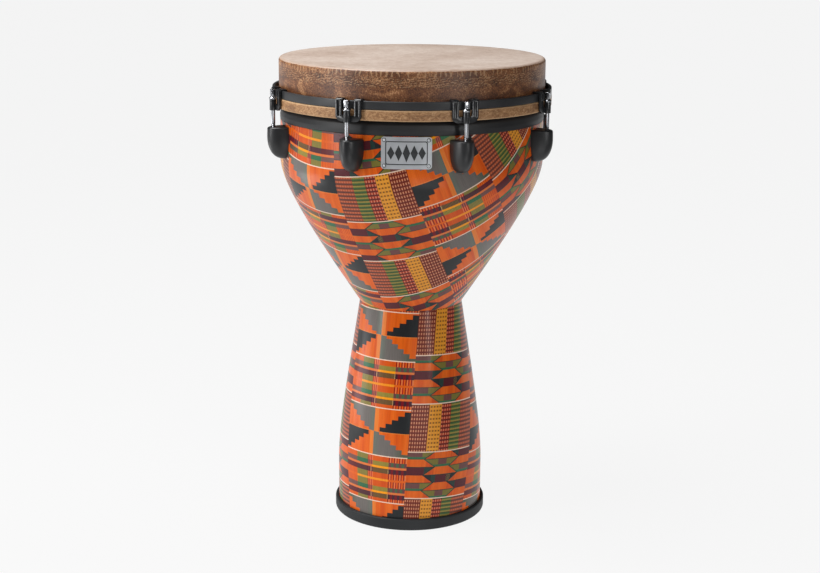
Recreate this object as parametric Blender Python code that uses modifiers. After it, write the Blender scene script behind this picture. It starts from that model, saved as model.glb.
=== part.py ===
"""A key-tuned djembe with a 14 in head, 25 in tall, built as the separate pieces it is assembled from.

Units are metres and +Z is up. The origin is the middle of the foot ring's underside, and the badge
faces -Y. The eight tuning stations stand 45 degrees apart, and each is built once on the +X side.
"""

import math

import bmesh
import bpy
from mathutils import Matrix, Vector
from mathutils.geometry import interpolate_bezier

SEGMENTS = 48
GAP = 0.0003
WALL = 0.005
WELD = 0.00001

HEIGHT = 0.635
HEAD_RADIUS = 0.1778
FILM = 0.001
HEAD_SKIRT_Z = 0.574

RIM_RADIUS = 0.1764
RIM_Z = 0.5535
BELLY_RADIUS = 0.1774
BELLY_Z = 0.5075
WAIST_RADIUS = 0.0703
WAIST_Z = 0.3015
STEM_RADIUS = 0.1004
STEM_BELLY_Z = 0.0715
FOOT_RADIUS = 0.1002
FOOT_RING_RADIUS = 0.105
FOOT_RING_HEIGHT = 0.016
FOOT_SEAT = 0.003

NECK_RADIUS = 0.168
EDGE_RADIUS = 0.1764
# (radius, height) points of the bearing ring's rounded shoulder, from the top.
SHOULDER = [(0.1702, 0.5725), (0.1737, 0.5695), (0.1759, 0.5655), (0.1767, 0.5605)]

# Inner radius, outer radius, lowest and highest points.
FLESH_HOOP = (0.1782, 0.1868, 0.5727, 0.5864)
COUNTERHOOP = (0.1824, 0.1866, 0.5868, 0.5972)

STATIONS = 8
FIRST_STATION = math.radians(-67.5)
ROD_CIRCLE = 0.193
ROD_RADIUS = 0.00275
ROD_TIP_Z = 0.531
ROD_SEAT_Z = 0.5853
ROD_TOP_Z = 0.598
BRACKET_BOTTOM_Z = 0.571
BRACKET_FACE = 0.1872
BRACKET_WIDTH = 0.035
BRACKET_PLATE = 0.003
PRONG_WIDTH = 0.0089
CROSSBAR_HEIGHT = 0.0075
BARREL_RADIUS = 0.0044
FLANGE_RADIUS = 0.005
KEY_SQUARE = 0.0062
CASING_TOP_Z = 0.549
CASING_HEIGHT = 0.043
CASING_HALF_WIDTH = 0.0148
CASING_DEPTH = 0.026
CASING_BACK = 0.176
CASING_EDGE = 0.0012
NUT_BOTTOM_Z = 0.531
NUT_TOP_Z = 0.545
NUT_ACROSS_FLATS = 0.0092
SCREW_Z = 0.517
SCREW_RADIUS = 0.002
SCREW_HEAD_RADIUS = 0.004
SCREW_HEAD_HEIGHT = 0.0026

BADGE_WIDTH = 0.0635
BADGE_BOTTOM_Z = 0.5125
BADGE_TOP_Z = 0.553
BADGE_THICKNESS = 0.001
RIVET_INSET = 0.004
RIVET_RADIUS = 0.0011
RIVET_HEAD_RADIUS = 0.0019
RIVET_HEAD_HEIGHT = 0.0009
RIVET_DEPTH = 0.0045


def clear_scene():
    for obj in list(bpy.data.objects):
        bpy.data.objects.remove(obj, do_unlink=True)


def new_collection(name):
    collection = bpy.data.collections.new(name)
    bpy.context.scene.collection.children.link(collection)
    return collection


def finish(name, colour, roughness, metallic=0.0):
    """A plain Principled material."""
    material = bpy.data.materials.new(name)
    material.use_nodes = True
    shader = material.node_tree.nodes["Principled BSDF"]
    shader.inputs["Base Color"].default_value = (*colour, 1.0)
    shader.inputs["Roughness"].default_value = roughness
    shader.inputs["Metallic"].default_value = metallic
    return material


def place(obj, collection, material=None):
    """Puts an object in its collection, with its material."""
    collection.objects.link(obj)
    if material is not None:
        obj.data.materials.clear()
        obj.data.materials.append(material)
    if collection is cutters:
        obj.hide_render = True
        obj.display_type = "WIRE"
    return obj


def rounded_outline(corners, steps=3):
    """Points of a closed outline whose corners, each (a, b, radius), are rounded into arcs."""
    points = []
    for i, (a, b, radius) in enumerate(corners):
        corner = Vector((a, b))
        if radius == 0:
            points.append(corner)
            continue
        before = (Vector(corners[i - 1][:2]) - corner).normalized()
        after = (Vector(corners[(i + 1) % len(corners)][:2]) - corner).normalized()
        half = before.angle(after) / 2
        centre = corner + (before + after).normalized() * radius / math.sin(half)
        arm = corner + before * radius / math.tan(half) - centre
        sweep = (math.pi - 2 * half) * (-1 if before.cross(after) > 0 else 1)
        for k in range(steps + 1):
            points.append(centre + Matrix.Rotation(sweep * k / steps, 2) @ arm)
    return points


def turned(name, outline, collection, material=None, segments=SEGMENTS, closed=True):
    """A shape turned about Z from (radius, height) points that run down its outer side."""
    count = len(outline)
    edges = [(i, (i + 1) % count) for i in range(count if closed else count - 1)]
    mesh = bpy.data.meshes.new(name)
    mesh.from_pydata([(r, 0, z) for r, z in outline], edges, [])
    obj = bpy.data.objects.new(name, mesh)
    screw = obj.modifiers.new("Turn", "SCREW")
    screw.steps = segments
    screw.render_steps = segments
    screw.use_merge_vertices = True
    screw.merge_threshold = WELD
    return place(obj, collection, material)


def prism(name, outline, thickness, collection, material=None, turn=(0, 0, 0), centre=(0, 0, 0)):
    """A flat outline given a thickness, as a mesh object whose own Z is turned by the angles given."""
    curve = bpy.data.curves.new(name + "_outline", "CURVE")
    curve.dimensions = "2D"
    curve.fill_mode = "BOTH"
    curve.extrude = thickness / 2
    spline = curve.splines.new("POLY")
    spline.points.add(len(outline) - 1)
    for point, (a, b) in zip(spline.points, outline):
        point.co = (a, b, 0, 1)
    spline.use_cyclic_u = True
    guide = bpy.data.objects.new(name + "_outline", curve)
    bpy.context.scene.collection.objects.link(guide)
    guide.rotation_euler = turn
    guide.location = centre
    bpy.context.view_layer.update()
    evaluated = guide.evaluated_get(bpy.context.evaluated_depsgraph_get())
    mesh = bpy.data.meshes.new_from_object(evaluated)
    weld_in_place(mesh)
    mesh.transform(guide.matrix_world)
    mesh.name = name
    bpy.data.objects.remove(guide, do_unlink=True)
    return place(bpy.data.objects.new(name, mesh), collection, material)


def weld_in_place(mesh):
    """Joins the loose caps of a filled curve to its sides."""
    shape = bmesh.new()
    shape.from_mesh(mesh)
    bmesh.ops.remove_doubles(shape, verts=shape.verts, dist=WELD / 10)
    bmesh.ops.recalc_face_normals(shape, faces=shape.faces)
    shape.to_mesh(mesh)
    shape.free()


def peg(name, radius, start, end, collection, sides=12):
    """A solid cylinder between two points, with a flat of its side facing along its own Y."""
    span = Vector(end) - Vector(start)
    shape = bmesh.new()
    bmesh.ops.create_cone(
        shape, cap_ends=True, segments=sides, radius1=radius, radius2=radius, depth=span.length
    )
    middle = Matrix.Translation((Vector(start) + Vector(end)) / 2)
    along = span.to_track_quat("Z", "Y").to_matrix().to_4x4()
    half_side = Matrix.Rotation(math.pi / sides, 4, "Z")
    bmesh.ops.transform(shape, matrix=middle @ along @ half_side, verts=shape.verts)
    mesh = bpy.data.meshes.new(name)
    shape.to_mesh(mesh)
    shape.free()
    return place(bpy.data.objects.new(name, mesh), collection)


def block(name, low, high, collection):
    """A solid box between its lowest and highest corners."""
    low, high = Vector(low), Vector(high)
    shape = bmesh.new()
    bmesh.ops.create_cube(shape, size=1)
    bmesh.ops.scale(shape, vec=high - low, verts=shape.verts)
    bmesh.ops.translate(shape, vec=(low + high) / 2, verts=shape.verts)
    mesh = bpy.data.meshes.new(name)
    shape.to_mesh(mesh)
    shape.free()
    return place(bpy.data.objects.new(name, mesh), collection)


def combine(obj, operation, *others):
    """Adds one Boolean for each of the other shapes, in turn."""
    for other in others:
        boolean = obj.modifiers.new(operation.title(), "BOOLEAN")
        boolean.operation = operation
        boolean.object = other


def bake(obj):
    """Gives an object its own finished mesh, so that copies can share it."""
    bpy.context.view_layer.update()
    evaluated = obj.evaluated_get(bpy.context.evaluated_depsgraph_get())
    mesh = bpy.data.meshes.new_from_object(evaluated)
    obj.modifiers.clear()
    obj.data = mesh
    return mesh


def smooth(mesh, angle=35):
    mesh.shade_smooth()
    mesh.set_sharp_from_angle(angle=math.radians(angle))


def station_angles():
    return [FIRST_STATION + i * math.tau / STATIONS for i in range(STATIONS)]


def copies(name, master, collection, material, x=0.0):
    """One object at each tuning station, all sharing the master's mesh, which is centred on x."""
    mesh = bake(master)
    mesh.transform(Matrix.Translation((-x, 0, 0)))
    smooth(mesh)
    mesh.materials.clear()
    mesh.materials.append(material)
    bpy.data.objects.remove(master, do_unlink=True)
    for number, angle in enumerate(station_angles(), start=1):
        obj = bpy.data.objects.new(f"{name}_{number}", mesh)
        obj.location = (x * math.cos(angle), x * math.sin(angle), 0)
        obj.rotation_euler = (0, 0, angle)
        collection.objects.link(obj)
        obj.parent = drum


def piece(obj):
    """Finishes a piece that there is one of."""
    smooth(bake(obj))
    obj.parent = drum
    return obj


def bowl_outer():
    """(radius, height) down the bowl's outer side, from the rim to the waist."""
    lean = 0.6655
    reach = 0.158
    ease = 0.0234
    curve = interpolate_bezier(
        (BELLY_RADIUS, BELLY_Z, 0),
        (BELLY_RADIUS, BELLY_Z - ease, 0),
        (WAIST_RADIUS + lean * reach, WAIST_Z + reach, 0),
        (WAIST_RADIUS, WAIST_Z + GAP / 2, 0),
        8,
    )
    return [(RIM_RADIUS, RIM_Z)] + [(point.x, point.y) for point in curve]


def stem_outer():
    """(radius, height) down the stem's outer side, from the waist to the foot."""
    lean = 0.152
    reach = 0.0882
    ease = 0.0527
    curve = interpolate_bezier(
        (WAIST_RADIUS, WAIST_Z - GAP / 2, 0),
        (WAIST_RADIUS + lean * reach, WAIST_Z - reach, 0),
        (STEM_RADIUS, STEM_BELLY_Z + ease, 0),
        (STEM_RADIUS, STEM_BELLY_Z, 0),
        5,
    )
    return [(point.x, point.y) for point in curve] + [(FOOT_RADIUS, FOOT_SEAT + GAP)]


def inner_of(outer):
    """The same points moved in by the wall's thickness, measured square to the wall."""
    inner = []
    for i, (radius, height) in enumerate(outer):
        above = outer[max(i - 1, 0)]
        below = outer[min(i + 1, len(outer) - 1)]
        lean = (above[0] - below[0]) / (above[1] - below[1])
        inner.append((radius - WALL * math.hypot(1, lean), height))
    return inner


def radius_at(outline, height):
    """The outline's radius at a height, along its straight stretches."""
    for (r1, z1), (r2, z2) in zip(outline, outline[1:]):
        if z2 <= height <= z1:
            return r2 + (r1 - r2) * (height - z2) / (z1 - z2)
    raise ValueError("height is off the outline")


def shell_solid(margin):
    """A cutter that fills the bowl's outer form, a little larger all round."""
    outline = [(r + margin, z) for r, z in bowl_outer()]
    over = 0.02
    top = (RIM_RADIUS + margin, RIM_Z + over)
    closed_outline = [(0, top[1]), top, *outline, (0, outline[-1][1])]
    return turned("bowl_form", closed_outline, cutters, closed=False)


def make_shell():
    """The bowl, the stem, and the ring and sleeve that join and finish them."""
    outer = bowl_outer()
    inner = inner_of(outer)
    bowl = turned("bowl_shell", outer + inner[::-1], parts, printed_cloth)
    start, end = RIM_RADIUS - 4 * WALL, RIM_RADIUS + 2 * WALL
    for number, angle in enumerate(station_angles(), start=1):
        out = Vector((math.cos(angle), math.sin(angle), 0))
        lift = Vector((0, 0, SCREW_Z))
        name = f"screw_hole_{number}"
        hole = peg(name, SCREW_RADIUS + GAP, out * start + lift, out * end + lift, cutters)
        combine(bowl, "DIFFERENCE", hole)
    blind_end = BELLY_RADIUS - 0.0038
    combine(bowl, "DIFFERENCE", *rivet_holes(blind_end, BELLY_RADIUS + WALL))
    piece(bowl)

    stem_side = stem_outer()
    stem_bore = inner_of(stem_side)
    piece(turned("stem_shell", stem_side + stem_bore[::-1], parts, printed_cloth))

    top, bottom = WAIST_Z + 0.022, WAIST_Z - 0.024
    play = GAP + 0.0001
    sleeve_wall = 0.003
    throat_radius, middle = inner[-1]
    sleeve = [
        (radius_at(inner, top) - play, top),
        (throat_radius - play, middle),
        (radius_at(stem_bore, bottom) - play, bottom),
    ]
    sleeve += [(r - sleeve_wall, z) for r, z in sleeve[::-1]]
    piece(turned("waist_sleeve", sleeve, parts, bare_fibre))

    spigot_end = RIM_Z - 0.017
    spigot = radius_at(inner, spigot_end) - play
    seat = RIM_Z + GAP
    flange = EDGE_RADIUS + GAP
    edge_top = HEIGHT - FILM - GAP - 0.0008
    cone_bottom, cone_top = 0.58, 0.604
    bore_offset = 0.003
    ring = rounded_outline(
        [
            (EDGE_RADIUS, edge_top, 0.0022),
            (EDGE_RADIUS, cone_top, 0),
            (NECK_RADIUS, cone_bottom, 0),
            (NECK_RADIUS, SHOULDER[0][1], 0),
            *[(r, z, 0) for r, z in SHOULDER],
            (flange, seat, 0),
            (spigot, seat, 0),
            (spigot, spigot_end, 0),
            (NECK_RADIUS - WALL, spigot_end + WALL, 0),
            (NECK_RADIUS - WALL, cone_bottom + bore_offset, 0),
            (EDGE_RADIUS - WALL, cone_top + bore_offset, 0),
            (EDGE_RADIUS - WALL, edge_top - 2 * WALL, 0),
        ],
        steps=2,
    )
    piece(turned("bearing_edge_ring", ring, parts, black_ring))

    groove_inside = FOOT_RADIUS - WALL - 2 * GAP
    bore = groove_inside - 0.0035
    inner_height = 0.01
    channel = rounded_outline(
        [
            (FOOT_RING_RADIUS, FOOT_RING_HEIGHT, 0.0015),
            (FOOT_RING_RADIUS, 0, 0.002),
            (bore, 0, 0.001),
            (bore, inner_height, 0),
            (groove_inside, inner_height, 0),
            (groove_inside, FOOT_SEAT, 0),
            (FOOT_RADIUS + 2 * GAP, FOOT_SEAT, 0),
            (FOOT_RADIUS + 2 * GAP, FOOT_RING_HEIGHT, 0),
        ],
        steps=2,
    )
    piece(turned("foot_ring", channel, parts, rubber))


def make_head():
    """The drumhead, and the two hoops that the tension pulls down over it."""
    fold = 0.0022
    chamfer = 0.0006
    inner_fold = fold + 0.0004
    head = [
        (0, HEIGHT),
        (HEAD_RADIUS - fold, HEIGHT),
        (HEAD_RADIUS - chamfer, HEIGHT - chamfer),
        (HEAD_RADIUS, HEIGHT - fold),
        (HEAD_RADIUS, HEAD_SKIRT_Z),
        (HEAD_RADIUS - FILM, HEAD_SKIRT_Z),
        (HEAD_RADIUS - FILM, HEIGHT - inner_fold),
        (HEAD_RADIUS - inner_fold, HEIGHT - FILM),
        (0, HEIGHT - FILM),
    ]
    piece(turned("drumhead", head, parts, head_film, closed=False))
    for name, material, (inside, outside, low, high), radius in (
        ("flesh_hoop", tan_band, FLESH_HOOP, 0),
        ("counterhoop", black_metal, COUNTERHOOP, 0.0008),
    ):
        section = rounded_outline(
            [(outside, high, radius), (outside, low, radius), (inside, low, 0), (inside, high, 0)],
            steps=1,
        )
        piece(turned(name, section, parts, material))


def make_brackets():
    """The hooks that hold the counterhoop down, each with a barrel for its tension rod."""
    plate_out = BRACKET_FACE + BRACKET_PLATE
    lip_in, lip_out = HEAD_RADIUS + 0.0009, HEAD_RADIUS + 0.0031
    hoop_top = COUNTERHOOP[3] + GAP
    hook_top = hoop_top + 0.0022
    lip_end = hoop_top - 0.005
    side_view = rounded_outline(
        [
            (plate_out, BRACKET_BOTTOM_Z, 0),
            (plate_out, hook_top, 0.003),
            (lip_in, hook_top, 0.0025),
            (lip_in, lip_end, 0),
            (lip_out, lip_end, 0),
            (lip_out, hoop_top, 0),
            (BRACKET_FACE, hoop_top, 0),
            (BRACKET_FACE, BRACKET_BOTTOM_Z, 0),
        ],
        steps=2,
    )
    upright = math.pi / 2
    over = 0.002
    bracket = prism("bracket", side_view, BRACKET_WIDTH + over, parts, turn=(upright, 0, 0))
    half = BRACKET_WIDTH / 2
    between = half - PRONG_WIDTH
    crossbar_z = BRACKET_BOTTOM_Z + CROSSBAR_HEIGHT
    outer_corner, inner_corner = 0.008, 0.002
    front_view = rounded_outline(
        [
            (-half, hook_top + over, 0),
            (-half, BRACKET_BOTTOM_Z, outer_corner),
            (half, BRACKET_BOTTOM_Z, outer_corner),
            (half, hook_top + over, 0),
            (between, hook_top + over, 0),
            (between, crossbar_z, inner_corner),
            (-between, crossbar_z, inner_corner),
            (-between, hook_top + over, 0),
        ]
    )
    middle = ((lip_in + plate_out) / 2, 0, 0)
    claw = prism("bracket_front", front_view, 0.03, cutters, turn=(upright, 0, upright), centre=middle)
    low = Vector((ROD_CIRCLE, 0, BRACKET_BOTTOM_Z - 0.0002))
    high = Vector((ROD_CIRCLE, 0, ROD_SEAT_Z - GAP))
    barrel = peg("bracket_barrel", BARREL_RADIUS, low, high, cutters, 16)
    inset = 0.0006
    web_half = BARREL_RADIUS - inset / 3
    web = block(
        "bracket_web",
        (BRACKET_FACE + BRACKET_PLATE / 3, -web_half, BRACKET_BOTTOM_Z + inset),
        (ROD_CIRCLE, web_half, crossbar_z - inset),
        cutters,
    )
    beyond = Vector((0, 0, 0.01))
    bore = peg("bracket_bore", ROD_RADIUS + GAP, low - beyond, high + beyond, cutters, 16)
    combine(bracket, "INTERSECT", claw)
    combine(bracket, "UNION", barrel, web)
    combine(bracket, "DIFFERENCE", bore)
    copies("hoop_bracket", bracket, parts, black_metal)


def make_rods():
    """The tension rods, each with a flange and a square head for a drum key."""
    neck = 0.0027
    neck_bottom, neck_top = ROD_SEAT_Z + 0.0042, ROD_SEAT_Z + 0.006
    shank = ROD_RADIUS - 0.0001
    chamfer = 0.001
    outline = [
        (0, neck_top),
        (neck, neck_top),
        (neck, neck_bottom),
        (FLANGE_RADIUS, ROD_SEAT_Z + 0.0014),
        (FLANGE_RADIUS, ROD_SEAT_Z),
        (shank, ROD_SEAT_Z),
        (shank, ROD_TIP_Z + chamfer),
        (shank - chamfer, ROD_TIP_Z),
        (0, ROD_TIP_Z),
    ]
    rod = turned("rod", outline, parts, segments=10, closed=False)
    bake(rod).transform(Matrix.Translation((ROD_CIRCLE, 0, 0)))
    half = KEY_SQUARE / 2
    head = block(
        "rod_head",
        (ROD_CIRCLE - half, -half, neck_bottom + GAP),
        (ROD_CIRCLE + half, half, ROD_TOP_Z),
        cutters,
    )
    edges = head.modifiers.new("Edges", "BEVEL")
    edges.width = 0.0006
    edges.segments = 1
    combine(rod, "UNION", head)
    copies("tension_rod", rod, parts, chrome, x=ROD_CIRCLE)


def make_lugs():
    """The bullet-shaped casings on the bowl, with the nut inside each and the screw that holds it."""
    fullness = 2.6
    bottom_z = CASING_TOP_Z - CASING_HEIGHT
    shoulder_z = CASING_TOP_Z - CASING_EDGE
    side = []
    steps = 5
    for k in range(steps):
        turn = k / steps * math.pi / 2
        across = math.cos(turn) ** (2 / fullness)
        down = math.sin(turn) ** (2 / fullness)
        side.append((CASING_HALF_WIDTH * across, shoulder_z - (shoulder_z - bottom_z) * down))
    top_edge = (CASING_HALF_WIDTH - CASING_EDGE, CASING_TOP_Z)
    outline = [(0, CASING_TOP_Z), top_edge, *side, (0, bottom_z)]
    casing = turned("casing", outline, parts, segments=16, closed=False)
    stretch = Matrix.Diagonal((CASING_DEPTH / CASING_HALF_WIDTH, 1, 1, 1))
    bake(casing).transform(Matrix.Translation((CASING_BACK, 0, 0)) @ stretch)

    flats = NUT_ACROSS_FLATS / 2
    corners = flats / math.cos(math.pi / 6)
    behind = CASING_BACK - 0.006
    pocket = block(
        "nut_pocket",
        (behind, -flats - GAP, NUT_BOTTOM_Z - GAP),
        (ROD_CIRCLE + corners + GAP, flats + GAP, NUT_TOP_Z + GAP),
        cutters,
    )
    nut_low = Vector((ROD_CIRCLE, 0, NUT_BOTTOM_Z))
    nut_high = Vector((ROD_CIRCLE, 0, NUT_TOP_Z))
    beyond = Vector((0, 0, 0.01))
    above = nut_high + beyond
    rod_way = peg("rod_way", ROD_RADIUS + 2 * GAP, nut_low - 0.9 * beyond, above, cutters)
    tip = ROD_CIRCLE - 0.006
    screw_ends = (behind, 0, SCREW_Z), (tip, 0, SCREW_Z)
    screw_way = peg("screw_way", SCREW_RADIUS + GAP, *screw_ends, cutters)
    combine(casing, "DIFFERENCE", shell_solid(GAP), pocket, rod_way, screw_way)
    copies("lug_casing", casing, parts, satin_black)

    nut = peg("nut", corners, nut_low, nut_high, parts, 6)
    thread = peg("nut_bore", ROD_RADIUS + GAP, nut_low - beyond, nut_high + beyond, cutters)
    combine(nut, "DIFFERENCE", thread)
    copies("lug_nut", nut, parts, brass)

    seat = radius_at(inner_of(bowl_outer()), SCREW_Z) - 3 * GAP - tip
    head_end = seat - SCREW_HEAD_HEIGHT
    shank = SCREW_RADIUS - 0.0001
    outline = [
        (0, -2 * GAP),
        (shank / 2, -2 * GAP),
        (shank, -5 * GAP),
        (shank, seat),
        (SCREW_HEAD_RADIUS, seat),
        (SCREW_HEAD_RADIUS, (seat + head_end) / 2),
        (SCREW_HEAD_RADIUS / 2, head_end),
        (0, head_end),
    ]
    screw = turned("screw", outline, parts, segments=12, closed=False)
    outwards = Matrix.Translation((tip, 0, SCREW_Z)) @ Matrix.Rotation(math.pi / 2, 4, "Y")
    bake(screw).transform(outwards)
    copies("lug_screw", screw, parts, steel)


def rivet_places():
    """(angle from -Y, height) of the badge's four rivets."""
    spread = math.asin((BADGE_WIDTH / 2 - RIVET_INSET) / (BELLY_RADIUS + BADGE_THICKNESS))
    heights = (BADGE_BOTTOM_Z + RIVET_INSET, BADGE_TOP_Z - RIVET_INSET)
    return [(side * spread, height) for height in heights for side in (-1, 1)]


def rivet_holes(start, end):
    """Cutters for the rivet holes, between two radii."""
    holes = []
    for number, (angle, height) in enumerate(rivet_places(), start=1):
        out = Vector((math.sin(angle), -math.cos(angle), 0))
        lift = Vector((0, 0, height))
        name = f"rivet_hole_{number}"
        holes.append(peg(name, RIVET_RADIUS + GAP, out * start + lift, out * end + lift, cutters, 8))
    return holes


def make_badge():
    """The curved badge plate on the bowl, and its four rivets."""
    back = BELLY_RADIUS + GAP
    face = back + BADGE_THICKNESS
    over = 0.002
    top, bottom = BADGE_TOP_Z + over, BADGE_BOTTOM_Z - over
    badge = turned(
        "badge_plate", [(face, top), (face, bottom), (back, bottom), (back, top)], parts, badge_metal
    )
    half, low, high, corner = BADGE_WIDTH / 2, BADGE_BOTTOM_Z, BADGE_TOP_Z, 0.0038
    outline = rounded_outline(
        [(-half, low, corner), (half, low, corner), (half, high, corner), (-half, high, corner)]
    )
    window = prism(
        "badge_outline", outline, 0.03, cutters, turn=(math.pi / 2, 0, 0), centre=(0, -face, 0)
    )
    combine(badge, "INTERSECT", window)
    combine(badge, "DIFFERENCE", *rivet_holes(back - over, face + over))
    piece(badge)

    seat = face + GAP
    outline = [
        (0, RIVET_HEAD_HEIGHT),
        (RIVET_RADIUS, RIVET_HEAD_HEIGHT),
        (RIVET_HEAD_RADIUS, RIVET_HEAD_HEIGHT / 3),
        (RIVET_HEAD_RADIUS, 0),
        (RIVET_RADIUS, 0),
        (RIVET_RADIUS, -RIVET_DEPTH),
        (0, -RIVET_DEPTH),
    ]
    for number, (angle, height) in enumerate(rivet_places(), start=1):
        rivet = turned(f"badge_rivet_{number}", outline, parts, badge_metal, segments=8, closed=False)
        rivet.location = (seat * math.sin(angle), -seat * math.cos(angle), height)
        rivet.rotation_euler = (math.pi / 2, 0, angle)
        piece(rivet)


clear_scene()
parts = new_collection("djembe")
cutters = new_collection("cutters")
drum = bpy.data.objects.new("djembe_origin", None)
parts.objects.link(drum)

printed_cloth = finish("printed cloth", (0.62, 0.17, 0.05), 0.3)
bare_fibre = finish("bare fibre shell", (0.12, 0.08, 0.05), 0.8)
black_ring = finish("black lacquer", (0.02, 0.021, 0.023), 0.45)
rubber = finish("foot rubber", (0.012, 0.013, 0.015), 0.75)
head_film = finish("head film", (0.45, 0.34, 0.26), 0.5)
tan_band = finish("tan flesh hoop", (0.36, 0.2, 0.1), 0.6)
black_metal = finish("black painted metal", (0.022, 0.023, 0.025), 0.35)
satin_black = finish("satin black casing", (0.016, 0.017, 0.018), 0.45)
chrome = finish("chrome", (0.75, 0.75, 0.76), 0.12, 1.0)
brass = finish("brass", (0.6, 0.42, 0.16), 0.35, 1.0)
steel = finish("zinc-plated steel", (0.5, 0.5, 0.5), 0.4, 1.0)
badge_metal = finish("brushed badge metal", (0.3, 0.32, 0.34), 0.4, 1.0)

make_shell()
make_head()
make_brackets()
make_rods()
make_lugs()
make_badge()
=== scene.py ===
"""The finished look of the key-tuned djembe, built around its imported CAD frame."""

import math

import bmesh
import bpy
from mathutils import Matrix, Vector


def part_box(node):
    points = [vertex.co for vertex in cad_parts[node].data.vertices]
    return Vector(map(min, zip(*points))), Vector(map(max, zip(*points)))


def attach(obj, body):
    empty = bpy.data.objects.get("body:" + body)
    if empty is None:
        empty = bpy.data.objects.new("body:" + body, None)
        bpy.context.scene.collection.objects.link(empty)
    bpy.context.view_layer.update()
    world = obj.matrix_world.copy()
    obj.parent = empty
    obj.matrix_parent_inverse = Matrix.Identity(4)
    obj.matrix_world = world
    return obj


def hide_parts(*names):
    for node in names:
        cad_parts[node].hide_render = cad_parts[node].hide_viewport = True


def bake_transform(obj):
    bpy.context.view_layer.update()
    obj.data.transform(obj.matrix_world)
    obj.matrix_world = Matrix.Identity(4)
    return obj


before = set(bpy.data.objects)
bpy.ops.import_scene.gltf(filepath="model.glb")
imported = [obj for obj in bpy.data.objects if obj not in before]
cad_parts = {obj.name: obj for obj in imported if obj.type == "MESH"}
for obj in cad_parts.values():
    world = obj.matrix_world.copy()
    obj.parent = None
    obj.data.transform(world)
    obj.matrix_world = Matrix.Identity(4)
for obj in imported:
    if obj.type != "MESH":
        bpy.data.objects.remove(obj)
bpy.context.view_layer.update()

MM = 0.001
TAU = math.tau

# Sizes read from the frame.
HEAD_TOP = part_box("drumhead")[1].z
HEAD_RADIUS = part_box("drumhead")[1].x
SKIRT_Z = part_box("drumhead")[0].z
RIM_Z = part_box("bowl_shell")[1].z
WAIST_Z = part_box("stem_shell")[1].z
STEM_FOOT_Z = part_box("stem_shell")[0].z
BELLY_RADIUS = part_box("bowl_shell")[1].x
STEM_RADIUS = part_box("stem_shell")[1].x
FOOT_RING_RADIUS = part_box("foot_ring")[1].x
FOOT_RING_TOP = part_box("foot_ring")[1].z
HOOP_LOW, HOOP_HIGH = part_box("counterhoop")[0].z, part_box("counterhoop")[1].z
HOOP_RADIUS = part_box("counterhoop")[1].x
BAND_LOW, BAND_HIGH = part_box("flesh_hoop")[0].z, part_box("flesh_hoop")[1].z
BAND_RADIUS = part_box("flesh_hoop")[1].x
BRACKET_LOW, BRACKET_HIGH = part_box("hoop_bracket_1")[0].z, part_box("hoop_bracket_1")[1].z
ROD_TIP, ROD_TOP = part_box("tension_rod_1")[0].z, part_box("tension_rod_1")[1].z
CASING_LOW, CASING_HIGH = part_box("lug_casing_1")[0].z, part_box("lug_casing_1")[1].z
BADGE_LOW, BADGE_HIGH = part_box("badge_plate")[0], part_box("badge_plate")[1]

# Sizes that the frame's boxes don't give.
RIM_RADIUS = 176.4 * MM
BELLY_Z = 507.5 * MM
WAIST_RADIUS = 70.3 * MM
STEM_BELLY_Z = 71.5 * MM
FOOT_RADIUS = 100.2 * MM
NECK_RADIUS = 168 * MM
WALL = 5 * MM
GAP = 0.3 * MM
ROD_CIRCLE = 193 * MM
ROD_RADIUS = 2.75 * MM
ROD_SEAT = 585.3 * MM
STATION_COUNT = 8
STATIONS = [math.radians(-67.5) + i * TAU / STATION_COUNT for i in range(STATION_COUNT)]
CAMERA_TURN = math.radians(2.08)
BOWL_CLOTH_LEVEL = math.radians(-35.34)
STEM_CLOTH_LEVEL = math.radians(-26.83)


# ---------------------------------------------------------------- shader maths

class Value:
    """The output of a node, for use in arithmetic: an expression adds its Math nodes."""

    def __init__(self, finish, socket):
        self.finish = finish
        self.socket = socket

    def math(self, operation, first, second=0.0):
        node = self.finish.add("Math", {0: first, 1: second}, {"operation": operation})
        return Value(self.finish, node.outputs[0])

    def __add__(self, other):
        return self.math("ADD", self, other)

    def __radd__(self, other):
        return self.math("ADD", other, self)

    def __sub__(self, other):
        return self.math("SUBTRACT", self, other)

    def __rsub__(self, other):
        return self.math("SUBTRACT", other, self)

    def __mul__(self, other):
        return self.math("MULTIPLY", self, other)

    def __rmul__(self, other):
        return self.math("MULTIPLY", other, self)

    def __truediv__(self, other):
        return self.math("DIVIDE", self, other)

    def __gt__(self, other):
        return self.math("GREATER_THAN", self, other)

    def __lt__(self, other):
        return self.math("LESS_THAN", self, other)

    def __abs__(self):
        return self.math("ABSOLUTE", self)

    def floor(self):
        return self.math("FLOOR", self)

    def fract(self):
        return self.math("FRACT", self)

    def within(self, low, high):
        """1 between two limits, and 0 outside them."""
        return (self > low) * (self < high)


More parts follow.
